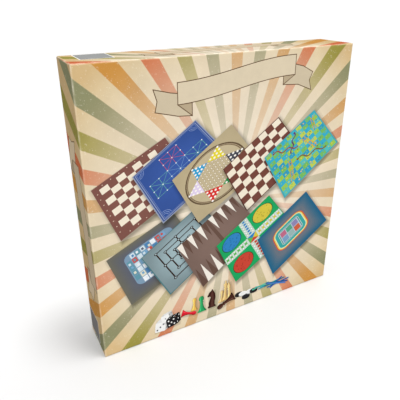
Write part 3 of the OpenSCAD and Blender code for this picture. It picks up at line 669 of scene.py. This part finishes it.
def draw_spiral(a):
    """A slate board with a closed track of small coloured fields."""
    rng = random.Random(11)
    graded(a, 0.02, (108, 106, 94), (94, 98, 110))
    x0, y0, wide, high = 0.175, 0.19, 0.69, 0.65
    a.round(x0, y0, x0 + wide, y0 + high, 0.09, (124, 152, 176), n=5)
    inks = [(206, 222, 230), (120, 166, 200), (222, 220, 200), (196, 84, 74), (80, 132, 180), (206, 214, 132), (236, 240, 244),
            (98, 150, 166)]
    for i in range(9):
        for j in range(6):
            if (i in (0, 8) and j in (0, 5)) or (i in (3, 4, 5) and j in (2, 3)):
                continue
            x, y = x0 + 0.013 + i * wide / 9.35, y0 + 0.014 + j * high / 6.25
            a.rect(x, y, x + wide / 11, y + high / 7, rng.choice(inks))
            patch = x + 0.03 * rng.random(), y + 0.04 * rng.random()
            a.rect(*patch, patch[0] + 0.03, patch[1] + 0.045, rng.choice(inks + [(86, 92, 112), (228, 232, 236)]))
    a.rect(0.415, 0.42, 0.625, 0.61, (216, 224, 230))
    a.disc(0.52, 0.515, 0.06, (206, 92, 80), n=16)


def draw_morris(a):
    a.rect(0, 0, 1, 1, (78, 122, 128))
    a.rect(0.014, 0.014, 0.986, 0.986, (143, 164, 169), 0.55)
    rings = (0.33, 0.225, 0.12)
    for r in rings:
        a.stroke([(0.5 - r, 0.5 - r), (0.5 + r, 0.5 - r), (0.5 + r, 0.5 + r), (0.5 - r, 0.5 + r)], 0.018, INK, closed=True)
    for dx, dy in ((1, 0), (-1, 0), (0, 1), (0, -1)):
        a.stroke([(0.5 + dx * rings[2], 0.5 + dy * rings[2]), (0.5 + dx * rings[0], 0.5 + dy * rings[0])], 0.018, INK)
    for r in rings:
        for i in (-1, 0, 1):
            for j in (-1, 0, 1):
                if i or j:
                    a.disc(0.5 + i * r, 0.5 + j * r, 0.025, INK, n=12)
                    a.disc(0.5 + i * r, 0.5 + j * r, 0.012, (176, 196, 200), n=10)


def draw_backgammon(a):
    a.rect(0, 0, 1, 1, (124, 102, 93), 0.2)
    bar, long = 0.05, 0.37
    wide = (1 - bar) / 12
    for k in range(12):
        x0 = k * wide + (bar if k > 5 else 0)
        for foot, tip in ((0, long), (1, 1 - long)):
            pale = (k % 2 == 0) == (foot == 1)
            a.poly([(x0, foot), (x0 + wide, foot), (x0 + wide / 2, tip)], (238, 231, 220) if pale else (100, 76, 66))
    a.rect(0.5 - bar / 2, 0, 0.5 + bar / 2, 1, (104, 80, 70))


def draw_cross(a):
    """A cross and circle board: four home circles and a white cross of fields."""
    a.rect(0, 0, 1, 1, (26, 148, 84))
    a.rect(0.008, 0.008, 0.992, 0.992, (34, 166, 96), 0.1)
    rng = random.Random(3)
    homes = ((0.215, 0.785, (52, 130, 190)), (0.785, 0.785, (212, 194, 70)), (0.215, 0.215, (198, 70, 54)),
             (0.785, 0.215, (96, 180, 84)))
    for x, y, ink in homes:
        a.disc(x, y, 0.17, (44, 58, 40), n=28)
        a.disc(x, y, 0.16, ink, n=28)
        for _ in range(22):
            t, r = rng.uniform(0, 6.3), 0.14 * math.sqrt(rng.random())
            dim = tuple(int(c * 0.86) for c in ink)
            a.disc(x + r * math.cos(t), y + r * math.sin(t), 0.012, dim, n=6)
    a.rect(0.425, 0.008, 0.575, 0.992, (206, 222, 210))
    a.rect(0.008, 0.425, 0.992, 0.575, (206, 222, 210))
    for i in range(6):
        t = 0.025 + i * 0.066
        for lane in range(3):
            s = 0.432 + lane * 0.048
            inks = [(138, 156, 146)] * 4 if lane != 1 else [homes[k][2] for k in (2, 1, 0, 3)]
            boxes = ((s, t, inks[0]), (1 - t - 0.046, s, inks[1]), (s, 1 - t - 0.046, inks[2]), (t, s, inks[3]))
            for x, y, ink in boxes:
                a.rect(x, y, x + 0.04, y + 0.046, ink)
                a.rect(x + 0.005, y + 0.006, x + 0.035, y + 0.04, (234, 238, 230) if lane != 1 else ink)
    c = 0.5
    for dx, dy, ink in ((0, -1, homes[2][2]), (1, 0, homes[1][2]), (0, 1, homes[0][2]), (-1, 0, homes[3][2])):
        a.poly([(c, c), (c + 0.075 * (dx - dy), c + 0.075 * (dy + dx)), (c + 0.075 * (dx + dy), c + 0.075 * (dy - dx))], ink)


def draw_oval(a):
    """A steel-blue board with a rounded race track."""
    graded(a, 0.03, (38, 98, 132), (104, 114, 126))
    x0, y0, x1, y1 = 0.205, 0.235, 0.795, 0.775
    bands = [(0.0, (206, 88, 62)), (0.018, (228, 206, 98)), (0.036, (224, 228, 204)), (0.046, (62, 164, 158)),
             (0.1, (200, 214, 204)), (0.108, (48, 136, 140))]
    for inset, ink in bands:
        a.round(x0 + inset, y0 + inset, x1 - inset, y1 - inset, 0.15 - inset, ink, n=7)
    a.rect(0.325, 0.355, 0.675, 0.655, (176, 196, 206))
    inks = [(120, 156, 190), (186, 104, 132), (150, 178, 176), (84, 160, 130), (202, 96, 66), (140, 132, 176)]
    for i in range(3):
        for j in range(2):
            x, y = 0.338 + i * 0.11, 0.37 + j * 0.138
            a.rect(x, y, x + 0.098, y + 0.126, inks[2 * i + j])


BOARDS = {
    "spiral_race": draw_spiral, "morris": draw_morris, "chess": draw_chess, "alquerque": draw_alquerque,
    "star": draw_star, "draughts": draw_draughts, "ladders": draw_ladders, "backgammon": draw_backgammon,
    "cross_race": draw_cross, "oval_race": draw_oval,
}

# Small boards on the cover, from the bottom of the heap up, each seen aslant: its lower, right, upper and left corner
COVER_BOARDS = {
    "spiral_race": ((-105.5, 50), (-29.5, 84.5), (-60, 134.5), (-124.5, 104.5)),
    "morris": ((-66.5, 47), (3, 95.5), (-35, 136), (-93.5, 97)),
    "chess": ((-110, 120), (-38.5, 161), (-65.5, 206), (-130.5, 172)),
    "alquerque": ((-70.5, 126.5), (2, 175.5), (-37, 217), (-96, 176.5)),
    "star": ((-35, 118), (37, 161.5), (-1.5, 208), (-60.5, 166.5)),
    "draughts": ((18.5, 116.5), (88, 164.5), (50.5, 208), (-9.5, 166.5)),
    "ladders": ((65, 120), (130.5, 170.5), (93.5, 209.5), (36.5, 169.5)),
    "backgammon": ((-30.5, 43), (37, 97), (1.5, 136.5), (-58, 97)),
    "cross_race": ((8.5, 35.5), (82.5, 81.5), (45, 128), (-15.5, 86.5)),
    "oval_race": ((57, 28.5), (128.5, 78), (93.5, 121.5), (33.5, 79.5)),
}


def cover_boards(a):
    for name, corners in COVER_BOARDS.items():
        a.quad(*corners)
        a.cast([(0, 0), (1, 0), (1, 1), (0, 1)])
        BOARDS[name](a)
    a.whole()


def curve(p0, p1, p2, p3, n=14):
    p0, p1, p2, p3 = (np.array(p, float) for p in (p0, p1, p2, p3))
    t = np.linspace(0, 1, n)[:, None]
    return [tuple(p) for p in (1 - t) ** 3 * p0 + 3 * (1 - t) ** 2 * t * p1 + 3 * (1 - t) * t ** 2 * p2 + t ** 3 * p3]


RIBBON, RIBBON_TAIL, RIBBON_FOLD, LINE = (219, 204, 176), (206, 191, 163), (184, 166, 137), (96, 70, 46)


def ribbon(a, x0, x1, z0, z1, height, tail, line=0.7, inks=(RIBBON, RIBBON_TAIL, RIBBON_FOLD)):
    """A plain banner with folded tails that rises from x0, z0 to x1, z1."""
    bend = 0.38 * (x1 - x0)
    top = curve((x0, z0), (x0 + bend, z0 + 0.08 * (z1 - z0)), (x1 - bend, z1), (x1, z1))
    low = [(x, z - height) for x, z in top]
    fold = 0.62 * tail
    left = [(x0 - tail, z0 - height * 0.2), (x0 - tail * 0.3, z0 - height * 0.42), (x0 + fold, z0 - height * 0.6),
            (x0 + fold, z0 - height * 1.58), (x0, z0 - height * 1.52), (x0 - tail * 0.96, z0 - height * 1.22),
            (x0 - tail * 0.86, z0 - height * 0.74)]
    right = [(x1 + tail, z1 - height * 0.95), (x1 + tail * 0.45, z1 - height * 0.62), (x1 - fold, z1 - height * 0.3),
             (x1 - fold, z1 - height * 1.45), (x1 + tail * 0.2, z1 - height * 1.52),
             (x1 + tail * 0.98, z1 - height * 1.88), (x1 + tail * 0.84, z1 - height * 1.36)]
    for shape in (left, right):
        a.poly(shape, inks[1])
        a.stroke(shape, line, LINE, closed=True)
    for shape in ([(x0, z0 - height), (x0 + fold, z0 - height * 0.97), (x0 + fold, z0 - height * 1.58)],
                  [(x1, z1 - height), (x1 - fold, z1 - height * 0.97), (x1 - fold, z1 - height * 1.45)]):
        a.poly(shape, inks[2])
        a.stroke(shape, line, LINE, closed=True)
    body = top + low[::-1]
    a.poly(body, inks[0])
    a.stroke(body, line, LINE, closed=True)


# Outlines of turned pieces: half widths and heights, as shares of the height
PAWN = [(0.26, 0), (0.26, 0.08), (0.2, 0.12), (0.12, 0.3), (0.08, 0.56), (0.13, 0.62), (0.07, 0.65), (0.13, 0.74),
        (0.15, 0.83), (0.12, 0.94), (0.04, 1)]
BISHOP = [(0.2, 0), (0.2, 0.07), (0.15, 0.1), (0.09, 0.3), (0.07, 0.54), (0.12, 0.58), (0.07, 0.62), (0.11, 0.72),
          (0.1, 0.83), (0.04, 0.92), (0.04, 0.98), (0.01, 1)]
KING = [(0.17, 0), (0.17, 0.06), (0.13, 0.09), (0.08, 0.3), (0.06, 0.58), (0.11, 0.61), (0.06, 0.65), (0.11, 0.83),
        (0.05, 0.86), (0.02, 0.9), (0.05, 0.93), (0.05, 0.95), (0.02, 0.96), (0.02, 1)]
# A horse's head on its foot, from the side, muzzle to the left
KNIGHT = [(-0.2, 0), (0.2, 0), (0.2, 0.08), (0.15, 0.12), (0.15, 0.3), (0.19, 0.5), (0.17, 0.72), (0.08, 0.88),
          (0.02, 1), (-0.03, 0.9), (-0.12, 0.84), (-0.22, 0.68), (-0.2, 0.6), (-0.1, 0.62), (-0.05, 0.56),
          (-0.12, 0.4), (-0.16, 0.26), (-0.15, 0.12), (-0.2, 0.08)]


def figure(a, profile, x, z, height, lean, ink):
    """A turned piece seen from the side, its foot at x, z, with a lit and a shaded side."""
    c, s = math.cos(math.radians(lean)), math.sin(math.radians(lean))
    right, up = np.array((c, -s)) * height, np.array((s, c)) * height
    a.frame((x, z), right, up)
    a.cast([(-0.2, 0), (0.2, 0), (0.1, 1), (-0.1, 1)], 0.3, 2.2, (0.8, -0.8))
    a.poly([(w, h) for w, h in profile] + [(-w, h) for w, h in profile[::-1]], tuple(int(v * 0.72) for v in ink))
    a.poly([(w * 0.62, h) for w, h in profile] + [(-w, h) for w, h in profile[::-1]], ink)
    pale = tuple(min(255, int(v * 1.2 + 24)) for v in ink)
    a.poly([(-w * 0.3, h) for w, h in profile[1:-1]] + [(-w * 0.62, h) for w, h in profile[1:-1][::-1]], pale)
    a.whole()


def cube(a, x, z, size, turn, ink, pip, faces):
    """A die in the round: three faces with their spots."""
    t = math.radians(turn)
    e = [np.array((math.cos(t), math.sin(t))) * size, np.array((-math.sin(t), math.cos(t))) * size,
         np.array((0.42, 0.34)) * size]
    sides = ((e[0], e[1], (0, 0), 1.0), (e[2], e[1], e[0], 0.8), (e[0], e[2], e[1], 0.94))
    a.frame((x, z), (size, 0), (0, size))
    a.cast([(0, 0), (1.2, 0.1), (1.3, 1.2), (0.2, 1.2)], 0.3, 2.4, (0.8, -0.9))
    spots = {1: [(0.5, 0.5)], 2: [(0.25, 0.25), (0.75, 0.75)], 3: [(0.22, 0.22), (0.5, 0.5), (0.78, 0.78)],
             5: [(0.24, 0.24), (0.24, 0.76), (0.76, 0.24), (0.76, 0.76), (0.5, 0.5)],
             4: [(0.26, 0.26), (0.26, 0.74), (0.74, 0.26), (0.74, 0.74)]}
    for (right, up, start, light), face in zip(sides, faces):
        a.frame(np.array((x, z)) + np.array(start, float), right, up)
        a.round(0, 0, 1, 1, 0.1, tuple(int(v * light) for v in ink), n=3)
        for px, py in spots[face]:
            a.disc(px, py, 0.085, pip, n=10)
    a.whole()


def horse(a, x, z, height, ink):
    a.frame((x, z), (height, 0), (0, height))
    a.cast([(-0.2, 0), (0.2, 0), (0.15, 0.9), (-0.15, 0.9)], 0.3, 2.2, (0.8, -0.8))
    a.poly(KNIGHT, ink)
    a.poly([(0.4 * px + 0.02, 0.9 * py + 0.04) for px, py in KNIGHT], tuple(int(v * 1.25 + 12) for v in ink))
    a.whole()


def cover_pieces(a):
    white, black, grey = (240, 240, 238), (34, 33, 36), (70, 74, 84)
    cube(a, -84.5, 7, 11, -6, white, grey, (3, 2, 1))
    cube(a, -76, 15, 8.5, 12, white, grey, (1, 4, 2))
    cube(a, -71, 7.2, 10.6, 8, black, (244, 244, 240), (5, 3, 4))
    figure(a, PAWN, -41, 17.5, 15.5, 2, (234, 186, 92))
    figure(a, PAWN, -55, 19, 17, 108, (206, 34, 48))
    figure(a, PAWN, -32, 12.5, 20, -2, (44, 156, 92))
    horse(a, -20.5, 13.5, 23.5, (58, 32, 27))
    figure(a, PAWN, -9, 15.5, 15, 4, (226, 188, 126))
    figure(a, KING, -4.5, 16.5, 25, 2, (222, 182, 118))
    figure(a, BISHOP, 1.5, 17, 21, -5, (228, 190, 128))
    figure(a, PAWN, 6.5, 18.5, 22.5, 244, (70, 40, 31))
    for x, z, ink in ((13, 18, black), (18, 17, white), (22, 12, black), (27, 17, white), (32, 16.5, black)):
        a.cast([(x - 4, z - 3), (x + 4, z - 3), (x + 4, z + 2), (x - 4, z + 2)], 0.25, 2, (0.6, -0.8))
        a.disc(x, z - 1.1, 5.2, tuple(int(v * 0.72 + 8) for v in ink), ry=2.7)
        a.disc(x, z, 5.2, ink, ry=2.7)
        a.disc(x, z, 3.4, tuple(min(255, int(v * 0.93 + 10)) for v in ink), ry=1.7)
    sticks = [((30, 17), (52, 20), (96, 190, 160)), ((34, 19), (60, 15), (60, 168, 160)), ((38, 15), (66, 19), (46, 150, 170)),
              ((48, 19.5), (79, 12.5), (36, 82, 150)), ((50, 13), (80, 16.5), (30, 96, 160)), ((46, 16), (74, 19), (34, 120, 140)),
              ((54, 11), (70, 21.5), (38, 84, 158)), ((50, 18), (76, 11), (70, 120, 190))]
    for start, end, ink in sticks:
        foot = [(x, z - 0.6) for x, z in (start, end)]
        head = [(x, z + 0.6) for x, z in (end, start)]
        a.cast(foot + head, 0.25, 1.6, (0.5, -0.8))
        a.stroke([start, end], 1.8, ink)


def plate(a, x0, z0, x1, z1, ink, rim=(246, 244, 238), edge=0.7):
    """A bare bordered panel."""
    a.rect(x0, z0, x1, z1, rim)
    a.rect(x0 + edge, z0 + edge, x1 - edge, z1 - edge, ink, 0.35)


def dress():
    """Gives every CAD node its material, and lays the prints."""
    wrap = wrap_look("sunburst_wrap")
    cover_ink = inked_look("cover_ink", ground=True)
    board_ink = inked_look("board_ink")
    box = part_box
    dice = {name: [Vector(c) for c in box(name)] for name in ("white_dice", "black_dice")}
    looks = {
        "lid_wrap": wrap,
        "lid_wrap_standing_flap": wrap,
        "base_wrap": paper_look("base_paper", (224, 206, 166), 0.04),
        "lid_corner_stays": paper_look("stay_paper", (196, 168, 122), 0.1, 0.7),
        "lid_board": greyboard_look("greyboard"),
        "insert_tray": tray_look("tray_sheet"),
        "booklet_cover": paper_look("booklet_cover_paper", (238, 228, 206), 0.03),
        "booklet_pages": paper_look("page_paper", (246, 243, 234), 0.02, 0.7),
        "booklet_staples": wire_look("staple_wire"),
        "white_draughts": plastic_look("white_plastic", (238, 235, 226)),
        "black_draughts": plastic_look("black_plastic", (28, 27, 30)),
        "white_dice": plastic_look("white_die_plastic", (244, 242, 236), (*dice["white_dice"], 5, (30, 30, 34))),
        "black_dice": plastic_look("black_die_plastic", (30, 30, 33), (*dice["black_dice"], 2, (244, 244, 240))),
    }
    looks["base_corner_stays"] = looks["lid_corner_stays"]
    looks["base_board"] = looks["lid_board"]
    light = wood_look("light_wood", (226, 184, 120), (178, 128, 72), 2)
    dark = wood_look("dark_wood", (84, 48, 36), (42, 24, 19), 2)
    for colour, rgb in (("red", (196, 30, 40)), ("yellow", (236, 184, 36)), ("green", (28, 146, 76)), ("blue", (30, 86, 174))):
        made = plastic_look(colour + "_plastic", rgb)
        looks[colour + "_pegs"] = looks[colour + "_sticks"] = made
    looks["black_stick"] = looks["black_draughts"]
    grounds = {
        "chess": BROWN, "alquerque": (60, 86, 168), "draughts": (118, 66, 58), "morris": (86, 122, 132), "star": (197, 180, 140),
        "spiral_race": (134, 136, 130), "ladders": (58, 178, 196), "cross_race": (26, 148, 84), "backgammon": (120, 92, 82),
        "oval_race": (44, 96, 142),
    }
    for name, rgb in grounds.items():
        looks[name + "_face"] = paper_look(name + "_sheet", rgb, 0.03)
    for name, node in frame["nodes"].items():
        if name.startswith("light_"):
            material = light
        elif name.startswith("dark_"):
            material = dark
        elif name.endswith("_board_core"):
            material = looks["lid_board"]
        else:
            material = looks[name]
        for slot in node.material_slots:
            slot.material = material

    front = Print(limits=((-133.5, 1.5), (133.5, 268.5)))
    cover_boards(front)
    ribbon(front, -53, 66, 249.5, 264, 18, 21)
    cover_pieces(front)
    front.lay("cover_print", (0, LO.y - PROUD, 0), (1, 0, 0), (0, 0, 1), "lid", cover_ink)

    side = Print()
    side.frame((0, 0), (0, -1), (1, 0))
    # the side ribbon's body is printed darker than the front ribbon's, as painted shade
    ribbon(side, -188, -72, 9, 20.8, 19, 20, inks=((209, 189, 158), (220, 200, 168), (182, 162, 134)))
    side.whole()
    plate(side, -21.5, 4, 8, 31, (146, 143, 142))
    side.lay("left_side_print", (LO.x - PROUD, (LO.y + HI.y) / 2, 0), (0, -1, 0), (0, 0, 1), "lid", cover_ink)

    top = Print()
    plate(top, -124, -7, -97, 21, (158, 159, 158))
    ribbon(top, -60, 62, 5, 12, 13, 15, inks=((196, 180, 153), (184, 168, 141), (166, 149, 121)))
    top.lay("top_print", (0, (LO.y + HI.y) / 2, HI.z + PROUD), (1, 0, 0), (0, 1, 0), "lid", cover_ink)

    for name, draw in BOARDS.items():
        low, high = (Vector(c) for c in box(name + "_face"))
        body = frame["nodes"][name + "_face"]["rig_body"]
        faces_front = name in ("chess", "draughts", "star", "ladders", "backgammon")
        sheet = Print()
        inset = 1.6
        wide, high_mm = (high.x - low.x) / MM - 2 * inset, (high.z - low.z) / MM - 2 * inset
        sheet.frame((-wide / 2, inset), (wide, 0), (0, high_mm))
        draw(sheet)
        slot = {"spiral_race": "spiral", "cross_race": "cross", "oval_race": "oval"}.get(name, name) + "_print"
        if faces_front:
            sheet.lay(name + "_artwork", (0, low.y - PROUD, low.z), (1, 0, 0), (0, 0, 1), body, board_ink)
        else:
            sheet.lay(name + "_artwork", (0, high.y + PROUD, low.z), (-1, 0, 0), (0, 0, 1), body, board_ink)

    low, high = (Vector(c) for c in box("booklet_cover"))
    leaf = Print()
    w, h = (high.x - low.x) / MM, (high.z - low.z) / MM
    leaf.frame(((low.x / MM), 0), (w, 0), (0, h))
    leaf.rect(0.04, 0.03, 0.97, 0.97, (214, 150, 84))
    leaf.rect(0.05, 0.037, 0.96, 0.963, (240, 230, 208))
    leaf.frame((low.x / MM + w * 0.5 - 40, h * 0.5 - 40), (80, 0), (0, 80))
    draw_morris(leaf)
    leaf.lay("booklet_print", (0, low.y - PROUD, low.z), (1, 0, 0), (0, 0, 1), "booklet", board_ink)


# Camera, floor and lights

SKY = 0.17
FLOOR_SEEN, FLOOR_BOUNCE = 0.78, 0.27
# azimuth and elevation, spread in degrees, strength
SUNS = {"key": (-24, 27, 32, 2.66), "overhead": (52, 78, 14, 1.35), "behind": (130, 76, 58, 1.1)}


def towards(azimuth, elevation):
    """The direction from the box to a camera or lamp: azimuth 0 is in front of the lid, 90 is to the right."""
    a, e = math.radians(azimuth), math.radians(elevation)
    return Vector((math.sin(a) * math.cos(e), -math.cos(a) * math.cos(e), math.sin(e)))


def looked_at(tree):
    """1 for what the camera sees, straight or by reflection or refraction, and 0 for bounced light."""
    path = tree.nodes.new("ShaderNodeLightPath")
    seen = path.outputs["Is Camera Ray"]
    for ray in ("Is Glossy Ray", "Is Transmission Ray"):
        most = tree.nodes.new("ShaderNodeMath")
        most.operation = "MAXIMUM"
        tree.links.new(seen, most.inputs[0])
        tree.links.new(path.outputs[ray], most.inputs[1])
        seen = most.outputs[0]
    return seen


def studio():
    world = bpy.data.worlds.new("studio")
    bpy.context.scene.world = world
    world.use_nodes = True
    nodes, links = world.node_tree.nodes, world.node_tree.links
    nodes.clear()
    out = nodes.new("ShaderNodeOutputWorld")
    mixed = nodes.new("ShaderNodeMixShader")
    seen, fill = nodes.new("ShaderNodeBackground"), nodes.new("ShaderNodeBackground")
    seen.inputs["Color"].default_value = (1, 1, 1, 1)
    seen.inputs["Strength"].default_value = 1.0
    fill.inputs["Color"].default_value = (1, 1, 1, 1)
    fill.inputs["Strength"].default_value = SKY
    links.new(looked_at(world.node_tree), mixed.inputs["Fac"])
    links.new(fill.outputs[0], mixed.inputs[1])
    links.new(seen.outputs[0], mixed.inputs[2])
    links.new(mixed.outputs[0], out.inputs["Surface"])
    for name, (azimuth, elevation, spread, watts) in SUNS.items():
        data = bpy.data.lights.new(name, "SUN")
        data.angle, data.energy = math.radians(spread), watts
        lamp = bpy.data.objects.new(name, data)
        bpy.context.collection.objects.link(lamp)
        lamp.rotation_euler = towards(azimuth, elevation).to_track_quat("Z", "Y").to_euler()

    mesh = bpy.data.meshes.new("floor")
    r = 40.0
    mesh.from_pydata([(-r, -r, -0.0001), (r, -r, -0.0001), (r, r, -0.0001), (-r, r, -0.0001)], [], [(0, 1, 2, 3)])
    floor = bpy.data.objects.new("floor", mesh)
    bpy.context.collection.objects.link(floor)
    look = Look("floor_white", Roughness=0.8, Specular_IOR_Level=0.0)
    seen = looked_at(look.tree)
    grain = look.remap(look.noise(3, 2), 0.3, 0.7, 0.99, 1.01)
    tone = look.math("MULTIPLY", look.remap(seen, 0.0, 1.0, FLOOR_BOUNCE, FLOOR_SEEN), grain)
    look.finish(look.join(tone, tone, tone))
    floor.data.materials.append(look.material)


def camera():
    """The photograph's view: angles, distance and framing fitted to the box's seven visible corners."""
    distance = 0.4249
    target = Vector((-0.01353, 0, 0.14654))
    back = towards(-28.69, 23.69)
    data = bpy.data.cameras.new("camera")
    data.sensor_width = 36
    data.lens = 437.5 / 400 * 36
    data.shift_x = (200 - 206.98) / 400
    data.shift_y = (181.53 - 200) / 400
    data.clip_start = 0.01
    cam = bpy.data.objects.new("camera", data)
    bpy.context.collection.objects.link(cam)
    cam.location = target + back * distance
    cam.rotation_euler = back.to_track_quat("Z", "Y").to_euler()
    bpy.context.scene.camera = cam


camera()
studio()
dress()
bpy.context.scene.view_settings.view_transform = "Standard"
